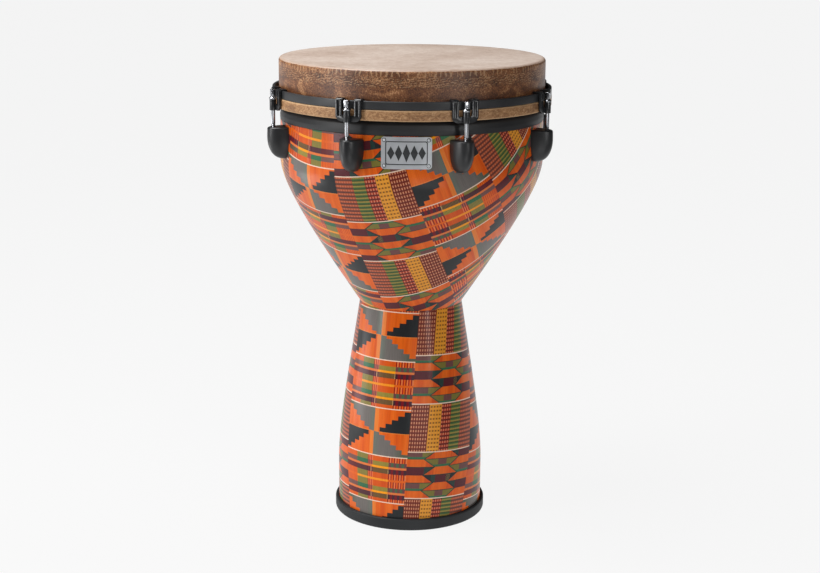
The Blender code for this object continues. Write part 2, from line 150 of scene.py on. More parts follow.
class Finish:
    """One material, and a short way of adding nodes to it."""

    def __init__(self, name, metallic=0.0, specular=0.5, coat=0.0, coat_roughness=0.03):
        self.material = bpy.data.materials.new(name)
        self.material.use_nodes = True
        self.tree = self.material.node_tree
        self.shader = self.tree.nodes["Principled BSDF"]
        self.shader.inputs["Metallic"].default_value = metallic
        self.shader.inputs["Specular IOR Level"].default_value = specular
        self.shader.inputs["Coat Weight"].default_value = coat
        self.shader.inputs["Coat Roughness"].default_value = coat_roughness

    def add(self, kind, sockets=None, settings=None, stops=None):
        """Adds a node of a type: its settings first, then values or links for its sockets."""
        node = self.tree.nodes.new("ShaderNode" + kind)
        for setting, value in (settings or {}).items():
            setattr(node, setting, value)
        for index, (place, colour) in enumerate(stops or ()):
            elements = node.color_ramp.elements
            element = elements[index] if index < 2 else elements.new(place)
            element.position = place
            element.color = (*colour, 1)
        for socket, value in (sockets or {}).items():
            self.give(node.inputs[socket], value)
        return node

    def give(self, socket, value):
        if isinstance(value, Value):
            self.tree.links.new(value.socket, socket)
        elif isinstance(value, tuple) and len(value) == 3 and socket.type == "RGBA":
            socket.default_value = (*value, 1)
        else:
            socket.default_value = value

    def mix(self, share, first, second):
        """The first colour where the share is 0, and the second where it is 1."""
        node = self.add("Mix", {0: share, 6: first, 7: second}, {"data_type": "RGBA"})
        return Value(self, node.outputs[2])

    def tint(self, colour, amount, strength, level=1.0):
        """A colour made lighter or darker by a value around 0.5, and scaled to a level."""
        shade = (amount - 0.5) * strength + level
        grey = self.add("CombineColor", {0: shade, 1: shade, 2: shade})
        node = self.add(
            "Mix",
            {0: 1.0, 6: colour, 7: Value(self, grey.outputs[0])},
            {"data_type": "RGBA", "blend_type": "MULTIPLY"},
        )
        return Value(self, node.outputs[2])

    def choose(self, base, *choices):
        """A base colour, and after it pairs of a mask and the colour that shows there."""
        for mask, colour in choices:
            base = self.mix(mask, base, colour)
        return base

    def place(self, source="Object"):
        """The vector of the object's own coordinates, in metres."""
        return Value(self, self.add("TexCoord").outputs[source])

    def split(self, vector):
        node = self.add("SeparateXYZ", {0: vector})
        return [Value(self, node.outputs[i]) for i in range(3)]

    def join(self, x, y, z=0.0):
        return Value(self, self.add("CombineXYZ", {0: x, 1: y, 2: z}).outputs[0])

    def noise(self, vector, scale, detail=2.0, roughness=0.5, distortion=0.0):
        node = self.add(
            "TexNoise",
            {
                "Vector": vector,
                "Scale": scale,
                "Detail": detail,
                "Roughness": roughness,
                "Distortion": distortion,
            },
        )
        return Value(self, node.outputs[0])

    def ramp(self, value, *stops):
        node = self.add("ValToRGB", {0: value}, stops=stops)
        return Value(self, node.outputs[0])

    def colour(self, value):
        self.give(self.shader.inputs["Base Color"], value)

    def roughen(self, value):
        self.give(self.shader.inputs["Roughness"], value)

    def bump(self, height, distance, strength=1.0):
        node = self.add("Bump", {"Height": height, "Distance": distance, "Strength": strength})
        self.give(self.shader.inputs["Normal"], Value(self, node.outputs[0]))


def srgb(red, green, blue):
    """A display colour, 0 to 255, as the linear colour that shaders take."""
    linear = []
    for channel in (red, green, blue):
        c = channel / 255
        linear.append(c / 12.92 if c <= 0.04045 else ((c + 0.055) / 1.055) ** 2.4)
    return tuple(linear)


# ---------------------------------------------------------------- the printed cloth

ORANGE = srgb(228, 98, 16)
ORANGE_DEEP = srgb(202, 68, 14)
ORANGE_PALE = srgb(236, 134, 52)
GOLD = srgb(252, 156, 14)
RED = srgb(176, 30, 22)
MAROON = srgb(92, 26, 34)
PLUM = srgb(104, 64, 66)
GREEN = srgb(54, 108, 74)
OLIVE = srgb(126, 116, 50)
MOSS = srgb(86, 94, 74)
STONE = srgb(112, 106, 102)
INK = srgb(36, 38, 40)
CREAM = srgb(240, 212, 190)
COLUMN_DROP = 0.138
CLOTH_DEPTH = 0.86


def stepped_block(f, x, y, orange):
    """Four stepped triangles: the block looks the same after half a turn."""
    steps = 6
    far = x > 0.5
    a = (x + far * (1 - 2 * x)) * 2
    b = (y + far * (1 - 2 * y)) * 2
    upper = b > 1
    h = b.fract()
    k = (a * steps).floor()
    stone = upper * (h > 0.86 - 0.185 * k)
    black = (1 - upper) * (h > 0.08 + 0.18 * k) * (a < 0.84)
    ground = f.mix((a > 0.88) * 0.75, orange, ORANGE_PALE)
    shade = f.ramp(a, (0.1, MOSS), (0.42, STONE), (0.8, STONE), (1.0, srgb(104, 114, 102)))
    seam = (abs(y - 0.5) < 0.006) * (a < 0.95)
    return f.choose(ground, (stone, shade), (black, INK), (seam, ORANGE_PALE))


def plaid_block(f, x, y, orange):
    """Crossed bars: two sets of three rows, over five columns."""
    t = 1 - y
    r = t - 0.55 * (t > 0.6)
    muted = r.within(0.12, 0.215)
    line = r.within(0.215, 0.262)
    dark = r.within(0.262, 0.368)
    middle = t.within(0.488, 0.535)
    tick = 0.0365
    fine = (x / 0.028).fract() < 0.35
    hair = (x / 0.017).fract() < 0.45
    beat = ((x - 0.745) / tick).fract() < 0.46
    pair = ((x - 0.745) / (2 * tick)).fract() < 0.5

    first = f.choose(
        f.mix(fine, orange, ORANGE_DEEP), (muted, srgb(118, 80, 74)), (dark, srgb(98, 32, 38))
    )
    second = f.choose(
        f.mix(hair * 0.4, OLIVE, srgb(168, 148, 86)), (muted, GREEN), (dark, srgb(82, 44, 50))
    )
    trio = ((x - 0.423) / 0.0277).fract() < 0.5
    third = f.choose(
        f.mix(trio, srgb(230, 122, 72), srgb(178, 30, 20)),
        (muted, f.mix(trio, srgb(186, 94, 66), srgb(104, 56, 66))),
        (dark, f.mix(trio, srgb(112, 52, 66), srgb(72, 30, 44))),
    )
    fourth = f.choose(
        f.mix(0.45, orange, ORANGE_DEEP),
        (muted, f.mix(hair, srgb(160, 146, 62), srgb(128, 112, 44))),
        (dark, f.mix(hair, srgb(122, 92, 50), srgb(88, 62, 36))),
    )
    fifth = f.choose(
        f.mix(beat, f.mix(pair, ORANGE, srgb(232, 124, 66)), f.mix(pair, RED, srgb(142, 20, 12))),
        (muted, f.mix(pair, srgb(74, 98, 70), srgb(108, 66, 66))),
        (dark, f.mix(pair, srgb(118, 14, 28), srgb(66, 32, 44))),
    )
    cloth = f.choose(
        first,
        (x > 0.225, second),
        (x > 0.423, third),
        (x > 0.506, fourth),
        (x > 0.745, fifth),
    )
    gold_part = x.within(0.49, 0.745)
    cloth = f.choose(
        cloth,
        (line, f.mix(gold_part, srgb(226, 118, 58), GOLD)),
        (middle, f.mix(x.within(0.225, 0.745), ORANGE, srgb(246, 150, 30))),
    )
    posts = dark * (x.within(0.474, 0.485) + x.within(0.738, 0.747))
    return f.mix(posts, cloth, srgb(196, 160, 104))


def striped_block(f, x, y):
    """Five upright stripes of small woven checks."""
    row = y * 12
    odd = row.fract() < 0.5
    middle = abs(row.fract() - 0.25) < 0.2
    tall = abs(row.fract() - 0.3) < 0.27
    across = abs((x / 0.034).fract() - 0.5)
    dot = (across < 0.2) * tall
    dots = f.choose(
        srgb(156, 58, 28),
        (1 - odd, srgb(116, 46, 34)),
        (across > 0.4, srgb(96, 36, 26)),
        (dot, srgb(208, 142, 106)),
    )
    dash = (abs((x / 0.042).fract() - 0.5) < 0.23) * middle
    gold = f.choose(srgb(232, 156, 50), (odd, srgb(220, 142, 38)), (dash, srgb(118, 78, 30)))
    small = (abs((x / 0.038).fract() - 0.5) < 0.22) * tall
    red = f.choose(srgb(104, 38, 32), (odd, srgb(172, 50, 28)), (small, srgb(212, 124, 90)))
    edge = abs(row.fract() - 0.5) > 0.43
    green = f.choose(srgb(66, 96, 52), (odd, srgb(148, 132, 60)), (edge, srgb(48, 52, 30)))
    brick = f.choose(
        srgb(106, 58, 48), (odd, srgb(182, 84, 50)), (small * odd * 0.45, srgb(214, 130, 96))
    )
    return f.choose(
        dots, (x > 0.246, gold), (x > 0.423, red), (x > 0.574, green), (x > 0.747, brick)
    )


def lattice_block(f, x, y, orange):
    """Long six-sided cells in offset columns: the upper half of each is orange."""
    t = 1 - y
    pitch = 0.34
    e = abs(x - 0.505)
    middle_cell = (t - 0.15) / pitch
    side_cell = (t - 0.32) / pitch
    swing = abs(middle_cell.fract() - 0.5) * 2
    border = 0.11 + 0.162 * swing
    side = e > border
    cell = side * side_cell + (1 - side) * middle_cell
    m = cell.fract()
    number = cell.floor()
    lower = m < 0.5
    odd = abs((number / 2).fract() - 0.5) < 0.25
    right = x > 0.505
    flip = side * right
    dark = odd * (1 - 2 * flip) + flip
    dark_here = side * (1 - dark) + (1 - side) * dark
    strip = m.within(0.36, 0.5)
    core = side * (e > 0.30) + (1 - side) * (e < 0.065)
    checker = ((x * 60).fract() < 0.5) * ((y * 40).fract() < 0.5)
    woven = f.mix(checker, PLUM, srgb(126, 82, 70))
    muted = f.choose(OLIVE, (checker * 0.5, srgb(96, 88, 48)), (core, woven), (strip, GREEN))
    deep = f.choose(
        f.mix(checker, srgb(42, 66, 60), srgb(30, 44, 42)),
        (side * (e > 0.26) + (1 - side) * (e < 0.085), f.mix(checker, MAROON, srgb(74, 30, 44))),
        ((1 - side) * right * (e > 0.085), f.mix(checker, INK, srgb(168, 130, 70))),
        ((1 - side) * (e > 0.15), INK),
    )
    filled = f.mix(dark_here, muted, deep)
    wedge = (e > 0.12) * (e < 0.24)
    ground = f.mix(wedge * 0.6, orange, ORANGE_DEEP)
    outline = (abs(e - border) < 0.013) + (abs(m - 0.5) > 0.478) + (abs(m - 0.5) < 0.016) * side
    rim = f.mix(dark_here, srgb(62, 80, 54), INK)
    return f.choose(ground, (lower, filled), (outline > 0.5, rim))


def printed_cloth():
    """The cloth wrap under its clear coat. One unit of the cloth map is one block."""
    f = Finish("printed cloth", specular=0.1, coat=0.34, coat_roughness=0.2)
    cloth_map = f.add("UVMap", settings={"uv_map": "cloth"})
    u, v, _ = f.split(Value(f, cloth_map.outputs[0]))
    striped_column = (u / 2).fract() > 0.5
    v = v - COLUMN_DROP * striped_column
    x, y = u.fract(), v.fract()
    even = (v / 2).fract() < 0.5

    broad = f.noise(f.join(u * 11, v * 0.3), 1.0, detail=1.0)
    thread = f.noise(f.join(u * 110, v * 2.5), 1.0, detail=1.0)
    pick = f.noise(f.join(u * 30, v * 150), 1.0, detail=1.0)
    orange = f.ramp(broad, (0.3, srgb(218, 84, 12)), (0.5, ORANGE), (0.7, srgb(234, 108, 26)))

    columns_a = f.mix(even, stepped_block(f, x, y, orange), plaid_block(f, x, y, orange))
    columns_b = f.mix(even, striped_block(f, x, y), lattice_block(f, x, y, orange))
    cloth = f.mix(striped_column, columns_a, columns_b)
    border = abs(y - 0.5) > 0.4895
    cloth = f.mix(border, cloth, CREAM)
    cloth = f.tint(cloth, thread, 0.34, CLOTH_DEPTH)
    cloth = f.tint(cloth, pick, 0.14)
    f.colour(cloth)
    f.roughen(0.34 + 0.1 * thread)
    f.bump(thread + pick, 0.00005, 0.35)
    return f.material


# ---------------------------------------------------------------- the other finishes

def black_lacquer():
    f = Finish("black lacquer", specular=0.4)
    grain = f.noise(f.place(), 900, detail=2)
    patch = f.noise(f.place(), 14)
    f.colour(f.ramp(patch, (0.3, srgb(34, 35, 37)), (0.7, srgb(44, 45, 47))))
    f.roughen(0.4 + 0.14 * patch)
    f.bump(grain, 0.00012, 0.4)
    return f.material


def powder_coat(name, gloss):
    f = Finish(name)
    grain = f.noise(f.place(), 1500, detail=2)
    patch = f.noise(f.place(), 30)
    f.colour(f.ramp(patch, (0.3, srgb(32, 33, 35)), (0.7, srgb(42, 43, 45))))
    f.roughen((0.62 + 0.3 * patch) * (1 - gloss))
    f.bump(grain, 0.0001, 0.3)
    return f.material


def satin_casing():
    f = Finish("satin black casing")
    grain = f.noise(f.place(), 2200, detail=2)
    patch = f.noise(f.place(), 40)
    f.colour(f.ramp(patch, (0.3, srgb(24, 25, 27)), (0.7, srgb(31, 32, 34))))
    f.roughen(0.32 + 0.1 * patch)
    f.bump(grain, 0.00003, 0.25)
    return f.material


def foot_rubber():
    f = Finish("foot rubber", specular=0.35)
    grain = f.noise(f.place(), 1100, detail=3)
    patch = f.noise(f.place(), 18, detail=3)
    f.colour(f.ramp(patch, (0.35, srgb(27, 29, 31)), (0.7, srgb(38, 40, 42))))
    f.roughen(0.5 + 0.2 * patch)
    f.bump(grain, 0.0002, 0.5)
    return f.material


def bare_fibre():
    f = Finish("bare fibre")
    chips = f.noise(f.place(), 260, detail=4, roughness=0.65)
    patch = f.noise(f.place(), 20, detail=3)
    tone = chips * 0.7 + patch * 0.3
    f.colour(f.ramp(tone, (0.35, srgb(62, 44, 32)), (0.52, srgb(92, 68, 48)), (0.68, srgb(128, 98, 70))))
    f.roughen(0.75 + 0.15 * chips)
    f.bump(chips, 0.0006, 0.7)
    return f.material


def plated(name, low, high, roughness):
    f = Finish(name, metallic=1.0)
    patch = f.noise(f.place(), 70, detail=3)
    scratch = f.noise(f.place(), 900, detail=2, distortion=1.0)
    f.colour(f.ramp(patch, (0.3, low), (0.7, high)))
    f.roughen(roughness + 0.1 * patch + 0.06 * scratch)
    f.bump(scratch, 0.00004, 0.25)
    return f.material


def badge_metal():
    """Satin plate, brushed from side to side."""
    f = Finish("satin badge metal", metallic=0.7)
    px, py, pz = f.split(f.place())
    brush = f.noise(f.join(px * 40, py * 40, pz * 2600), 1.0, detail=2)
    patch = f.noise(f.place(), 45)
    f.colour(f.ramp(patch, (0.3, srgb(186, 189, 193)), (0.7, srgb(206, 209, 213))))
    f.roughen(0.34 + 0.16 * brush)
    f.bump(brush, 0.00005, 0.3)
    return f.material


def badge_enamel():
    f = Finish("badge enamel")
    patch = f.noise(f.place(), 300)
    f.colour(f.ramp(patch, (0.3, srgb(38, 40, 42)), (0.7, srgb(52, 54, 56))))
    f.roughen(0.35 + 0.1 * patch)
    return f.material


def head_skin():
    """Coated film: pale on top, and mottled brown round the collar."""
    f = Finish("skin-look head film")
    px, py, pz = f.split(f.place())
    radius = f.add("Math", {0: px * px + py * py, 1: 0.5}, {"operation": "POWER"})
    radius = Value(f, radius.outputs[0])
    turn = f.add("Math", {0: py, 1: px}, {"operation": "ARCTAN2"})
    turn = Value(f, turn.outputs[0]) * HEAD_RADIUS
    depth = HEAD_TOP - pz

    cloud = f.noise(f.place(), 9, detail=5, roughness=0.6)
    fibre = f.noise(f.join(px * 120, py * 210, pz), 1.0, detail=5, roughness=0.7, distortion=0.8)
    top = f.ramp(
        cloud * 0.42 + fibre * 0.58,
        (0.34, srgb(164, 140, 123)),
        (0.5, srgb(196, 176, 162)),
        (0.66, srgb(222, 208, 197)),
    )

    blotch = f.noise(f.join(turn * 34, depth * 60), 1.0, detail=4, roughness=0.6, distortion=0.6)
    grain = f.noise(f.join(turn * 520, depth * 520), 1.0, detail=3, roughness=0.7, distortion=0.8)
    low_part = depth / (HEAD_TOP - HOOP_HIGH)
    tone = blotch * 0.45 + grain * 0.55
    collar = f.ramp(
        tone,
        (0.34, srgb(42, 24, 15)),
        (0.45, srgb(90, 53, 31)),
        (0.54, srgb(130, 82, 48)),
        (0.66, srgb(206, 158, 112)),
    )
    wave = f.noise(f.join(turn * 90, depth * 60), 1.0, detail=3)
    broken = f.noise(f.join(turn * 240, depth * 420), 1.0) > 0.48
    wiggle = abs((depth * 330 + wave * 3.2 + (turn * 46).fract()).fract() - 0.5) < 0.15
    wiggle = wiggle * low_part.within(0.25, 0.56) * broken
    beat = abs((turn * 150 + wave * 2.2).fract() - 0.5) < 0.13
    ticks = beat * low_part.within(0.03, 0.22) * (f.noise(f.join(turn * 90, 0.0), 1.0) > 0.44)
    pale = srgb(206, 168, 126)
    dark = srgb(58, 36, 26)
    belt = low_part.within(0.23, 0.6) * (grain < 0.5)
    collar = f.choose(collar, (belt * 0.45, dark), (wiggle * 0.42, pale), (ticks * 0.36, pale))

    side = depth + 0.0022 * wave > 0.0028
    edge = f.ramp(radius / HEAD_RADIUS, (0.965, (0.0, 0.0, 0.0)), (0.995, (0.55, 0.55, 0.55)))
    f.colour(f.choose(top, (edge, srgb(150, 114, 86)), (side, collar)))
    f.roughen(f.mix(side, 0.4 + 0.14 * fibre, 0.34 + 0.2 * grain))
    f.bump(f.mix(side, fibre * 0.4, grain), 0.0003, 0.45)
    return f.material


def tan_band():
    """The flesh hoop's mottled tan band, with paler edges."""
    f = Finish("tan mottled band")
    px, py, pz = f.split(f.place())
    turn = f.add("Math", {0: py, 1: px}, {"operation": "ARCTAN2"})
    turn = Value(f, turn.outputs[0]) * BAND_RADIUS
    blotch = f.noise(f.join(turn * 170, pz * 260), 1.0, detail=4, roughness=0.62, distortion=1.2)
    grain = f.noise(f.join(turn * 700, pz * 700), 1.0, detail=2)
    tone = f.ramp(
        blotch * 0.7 + grain * 0.3,
        (0.34, srgb(112, 76, 46)),
        (0.5, srgb(158, 116, 76)),
        (0.66, srgb(196, 156, 112)),
    )
    stain = f.noise(f.join(turn * 38, pz * 120), 1.0, detail=2, distortion=0.6)
    tone = f.mix((stain - 0.5) * 3.2, tone, srgb(96, 60, 34))
    middle = (BAND_LOW + BAND_HIGH) / 2
    edge = abs(pz - middle) > (BAND_HIGH - BAND_LOW) / 2 - 0.0014
    f.colour(f.mix(edge * 0.5, tone, srgb(206, 170, 128)))
    f.roughen(0.5 + 0.2 * grain)
    f.bump(blotch + grain, 0.0003, 0.5)
    return f.material


def pale_floor():
    """A glowing floor that lights the drum from below: its glow is even round and behind the drum, and
    dimmed towards the front and the right as painted shade.
    """
    f = Finish("pale studio floor", specular=0.0)
    patch = f.noise(f.place(), 0.6)
    f.colour(f.ramp(patch, (0.3, (0.035, 0.035, 0.035)), (0.7, (0.04, 0.04, 0.04))))
    px, py, _ = f.split(f.place())
    # Painted shade in the floor's glow: dimmed towards the front and the right, so the drum's front gets
    # less light and reflection from the floor.
    turned_away = 1.2 * (px - 0.36) * (px > 0.36) + 0.8 * (px + 0.1) * (px < -0.1)
    nearness = 0.5 - (py - turned_away) * 0.4
    pale, deep = (0.9, 0.9, 0.9), (0.18, 0.18, 0.18)
    f.give(f.shader.inputs["Emission Color"], f.ramp(nearness, (0.67, pale), (0.98, deep)))
    f.shader.inputs["Emission Strength"].default_value = 1.0
    return f.material


# ---------------------------------------------------------------- modelling helpers

def leave_all():
    if bpy.context.mode != "OBJECT":
        bpy.ops.object.mode_set(mode="OBJECT")
    bpy.ops.object.select_all(action="DESELECT")


def choose_only(obj):
    leave_all()
    obj.select_set(True)
    bpy.context.view_layer.objects.active = obj


def open_mesh(obj):
    """Goes into edit mode on one object."""
    choose_only(obj)
    bpy.ops.object.mode_set(mode="EDIT")


def close_mesh(obj, smooth=30):
    """Leaves edit mode with the faces pointing out and shaded."""
    bpy.ops.mesh.select_all(action="SELECT")
    bpy.ops.mesh.remove_doubles(threshold=0.000001)
    bpy.ops.mesh.normals_make_consistent(inside=False)
    bpy.ops.object.mode_set(mode="OBJECT")
    bpy.ops.object.shade_smooth_by_angle(angle=math.radians(smooth))
    return obj


def apply_place(obj):
    """Puts the object's place into its mesh."""
    choose_only(obj)
    bpy.ops.object.transform_apply(location=True, rotation=True, scale=True)


def turned(name, outline, segments=96, closed=True, smooth=30):
    """A turned piece: a circle drawn out ring by ring along (radius, height) points."""
    leave_all()
    first_radius, height = outline[0]
    bpy.ops.mesh.primitive_circle_add(
        vertices=segments,
        radius=first_radius,
        location=(0, 0, height),
        fill_type="NOTHING" if closed else "NGON",
    )
    obj = bpy.context.object
    obj.name = name
    obj.data.name = name
    apply_place(obj)
    open_mesh(obj)
    bpy.ops.mesh.select_all(action="SELECT")
    if not closed:
        bpy.ops.mesh.select_mode(type="EDGE")
        bpy.ops.mesh.region_to_loop()
    radius = first_radius
    for next_radius, next_height in outline[1:]:
        bpy.ops.mesh.extrude_edges_move(
            TRANSFORM_OT_translate={"value": (0, 0, next_height - height)}
        )
        scale = next_radius / radius
        bpy.ops.transform.resize(value=(scale, scale, 1), center_override=(0, 0, next_height))
        radius, height = next_radius, next_height
    if closed:
        bpy.ops.mesh.select_mode(type="EDGE")
        bpy.ops.mesh.select_all(action="SELECT")
        bpy.ops.mesh.region_to_loop()
        bpy.ops.mesh.bridge_edge_loops()
    else:
        bpy.ops.mesh.edge_face_add()
    return close_mesh(obj, smooth)


def prism(name, corners, depth):
    """A flat outline of 3-D points, drawn out point by point and then as a whole by a vector."""
    leave_all()
    bpy.ops.mesh.primitive_plane_add(size=MM, location=corners[0])
    obj = bpy.context.object
    obj.name = name
    obj.data.name = name
    apply_place(obj)
    open_mesh(obj)
    bpy.ops.mesh.select_mode(type="VERT")
    bpy.ops.mesh.select_all(action="SELECT")
    bpy.ops.mesh.merge(type="CENTER")
    for before, after in zip(corners, corners[1:]):
        step = Vector(after) - Vector(before)
        bpy.ops.mesh.extrude_vertices_move(TRANSFORM_OT_translate={"value": step})
    bpy.ops.mesh.select_all(action="SELECT")
    bpy.ops.mesh.edge_face_add()
    bpy.ops.mesh.extrude_region_move(TRANSFORM_OT_translate={"value": depth})
    return close_mesh(obj)


def box(name, low, high):
    """A block between two corners."""
    leave_all()
    low, high = Vector(low), Vector(high)
    bpy.ops.mesh.primitive_cube_add(size=1, location=(low + high) / 2)
    obj = bpy.context.object
    obj.name = name
    obj.scale = high - low
    apply_place(obj)
    return obj


def rod(name, radius, start, end, sides=24):
    """A plain round bar between two points."""
    leave_all()
    start, end = Vector(start), Vector(end)
    span = end - start
    bpy.ops.mesh.primitive_cylinder_add(
        vertices=sides, radius=radius, depth=span.length, location=(start + end) / 2
    )
    obj = bpy.context.object
    obj.name = name
    obj.rotation_euler = span.to_track_quat("Z", "Y").to_euler()
    apply_place(obj)
    return obj


def use(obj, kind, **settings):
    """Adds a modifier and applies it at once."""
    choose_only(obj)
    modifier = obj.modifiers.new(kind.title(), kind)
    for setting, value in settings.items():
        setattr(modifier, setting, value)
    bpy.ops.object.modifier_apply(modifier=modifier.name)


def join_or_cut(obj, operation, other):
    """A Boolean with another shape, which is used up."""
    use(obj, "BOOLEAN", operation=operation, object=other)
    bpy.data.objects.remove(other, do_unlink=True)


def soften(obj, width, segments=2, angle=30):
    """Rounds the sharp edges and shades the piece."""
    use(
        obj,
        "BEVEL",
        width=width,
        segments=segments,
        limit_method="ANGLE",
        angle_limit=math.radians(angle),
        harden_normals=False,
    )
    choose_only(obj)
    bpy.ops.object.shade_smooth_by_angle(angle=math.radians(angle))


def rounded(corners, steps=6):
    """Points of a closed outline whose (a, b, radius) corners are rounded into arcs."""
    points = []
    for i, (a, b, radius) in enumerate(corners):
        corner = Vector((a, b))
        if radius == 0:
            points.append(corner)
            continue
        before = (Vector(corners[i - 1][:2]) - corner).normalized()
        after = (Vector(corners[(i + 1) % len(corners)][:2]) - corner).normalized()
        half = before.angle(after) / 2
        centre = corner + (before + after).normalized() * radius / math.sin(half)
        arm = corner + before * radius / math.tan(half) - centre
        sweep = (math.pi - 2 * half) * (-1 if before.cross(after) > 0 else 1)
        for k in range(steps + 1):
            points.append(centre + Matrix.Rotation(sweep * k / steps, 2) @ arm)
    return points


def bezier(start, lead, trail, end, count):
    """Points along a cubic curve in two dimensions."""
    points = []
    for i in range(count):
        t = i / (count - 1)
        s = 1 - t
        weights = (s**3, 3 * s * s * t, 3 * s * t * t, t**3)
        points.append(
            tuple(sum(w * p[axis] for w, p in zip(weights, (start, lead, trail, end))) for axis in (0, 1))
        )
    return points


def finish_piece(obj, material, body, slot, *nodes):
    """Gives a piece its material and its body, and hides the CAD nodes that it stands for. The slot is
    not used.
    """
    obj.data.materials.clear()
    obj.data.materials.append(material)
    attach(obj, body)
    if nodes:
        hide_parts(*nodes)
    return obj


def station_copies(master, name, material, body, slot, node):
    """Copies a piece made on the +X side to each tuning station, each with its own mesh."""
    for number, angle in enumerate(STATIONS, start=1):
        piece = bpy.data.objects.new(f"{name}_{number}", master.data.copy())
        bpy.context.scene.collection.objects.link(piece)
        piece.rotation_euler.z = angle
        apply_place(piece)
        finish_piece(piece, material, body.format(number), slot, f"{node}_{number}")
    bpy.data.objects.remove(master, do_unlink=True)


# ---------------------------------------------------------------- the shell

def bowl_side(count=34):
    """The bowl's outer side, from the rim down to the waist."""
    lean, reach, ease = 0.6655, 0.158, 0.0234
    curve = bezier(
        (BELLY_RADIUS, BELLY_Z),
        (BELLY_RADIUS, BELLY_Z - ease),
        (WAIST_RADIUS + lean * reach, WAIST_Z + reach),
        (WAIST_RADIUS, WAIST_Z + GAP),
        count,
    )
    rim = [
        (RIM_RADIUS + (BELLY_RADIUS - RIM_RADIUS) * k / 4, RIM_Z + (BELLY_Z - RIM_Z) * k / 4)
        for k in range(4)
    ]
    return rim + curve


def stem_side(count=28):
    """The stem's outer side, from the waist down to the foot."""
    lean, reach, ease = 0.152, 0.0882, 0.0527
    curve = bezier(
        (WAIST_RADIUS, WAIST_Z),
        (WAIST_RADIUS + lean * reach, WAIST_Z - reach),
        (STEM_RADIUS, STEM_BELLY_Z + ease),
        (STEM_RADIUS, STEM_BELLY_Z),
        count,
    )
    taper, drop = FOOT_RADIUS - STEM_RADIUS, STEM_FOOT_Z - STEM_BELLY_Z
    foot = [(STEM_RADIUS + taper * k / 3, STEM_BELLY_Z + drop * k / 3) for k in range(1, 4)]
    return curve + foot


def inner_side(outer, every=3):
    """The inner side of a wall, up from the bottom, at every third point of the outer side."""
    inner = []
    last = len(outer) - 1
    for i, (radius, height) in enumerate(outer):
        if i % every and i != last:
            continue
        above, below = outer[max(i - 1, 0)], outer[min(i + 1, last)]
        lean = (above[0] - below[0]) / (above[1] - below[1])
        inner.append((radius - WALL * math.hypot(1, lean), height))
    return inner[::-1]


def arc_lengths(outline):
    """The distance along an outline to each of its points."""
    lengths = [0.0]
    for (r1, z1), (r2, z2) in zip(outline, outline[1:]):
        lengths.append(lengths[-1] + math.hypot(r2 - r1, z2 - z1))
    return lengths


def distance_at(outline, lengths, height):
    """The distance along a falling outline to a height."""
    for i in range(len(outline) - 1):
        top, bottom = outline[i][1], outline[i + 1][1]
        if bottom <= height <= top:
            return lengths[i] + (lengths[i + 1] - lengths[i]) * (top - height) / (top - bottom)
    return lengths[-1] if height < outline[-1][1] else 0.0


def bowl_cloth(angle, from_waist):
    """The cloth on the bowl is a flat sheet wound into a cone that opens upwards."""
    unroll, level, apex = 0.4556, BOWL_CLOTH_LEVEL, 0.1614
    block_width, block_height = 0.0983, 0.0667
    swing = ((angle - level + math.pi) % TAU - math.pi) * unroll
    along = (apex + from_waist) * math.sin(swing) - 0.0125
    up = (apex + from_waist) * math.cos(swing) - 0.1948
    return -along / block_width, -up / block_height


def stem_cloth(angle, from_waist):
    """The cloth on the stem winds round a steeper cone that opens downwards."""
    unroll, level, apex = 0.0956, STEM_CLOTH_LEVEL, 0.4594
    block_width, block_height = 0.0635, 0.0660
    swing = ((angle - level + math.pi) % TAU - math.pi) * unroll
    along = (apex + from_waist) * math.sin(swing) + 0.0338
    up = 0.4616 - (apex + from_waist) * math.cos(swing)
    return along / block_width, up / block_height


def lay_cloth(obj, outline, cloth, seam):
    """Unrolls a wall's outer faces onto the cloth map. The two ends of the cloth meet at the seam."""
    lengths = arc_lengths(outline)
    mesh = bmesh.new()
    mesh.from_mesh(obj.data)
    layer = mesh.loops.layers.uv.new("cloth")
    for face in mesh.faces:
        centre = face.calc_center_median()
        middle = math.atan2(centre.x, -centre.y)
        for loop in face.loops:
            point = loop.vert.co
            angle = math.atan2(point.x, -point.y)
            angle += TAU * round((middle - angle) / TAU)
            turned_by = (middle - seam) % TAU
            near_seam = min(turned_by, TAU - turned_by) < 0.1
            if near_seam and (angle - seam) * (middle - seam) <= 0:
                angle = seam + math.copysign(1e-6, middle - seam)
            distance = distance_at(outline, lengths, point.z)
            loop[layer].uv = cloth(angle, distance)
    mesh.to_mesh(obj.data)
    mesh.free()


def inside_faces(obj, material):
    """Gives the wall's inner faces the second material."""
    obj.data.materials.append(material)
    for face in obj.data.polygons:
        out = Vector((face.center.x, face.center.y, 0))
        if face.normal.dot(out) < 0 or abs(face.normal.z) > 0.99:
            face.material_index = 1


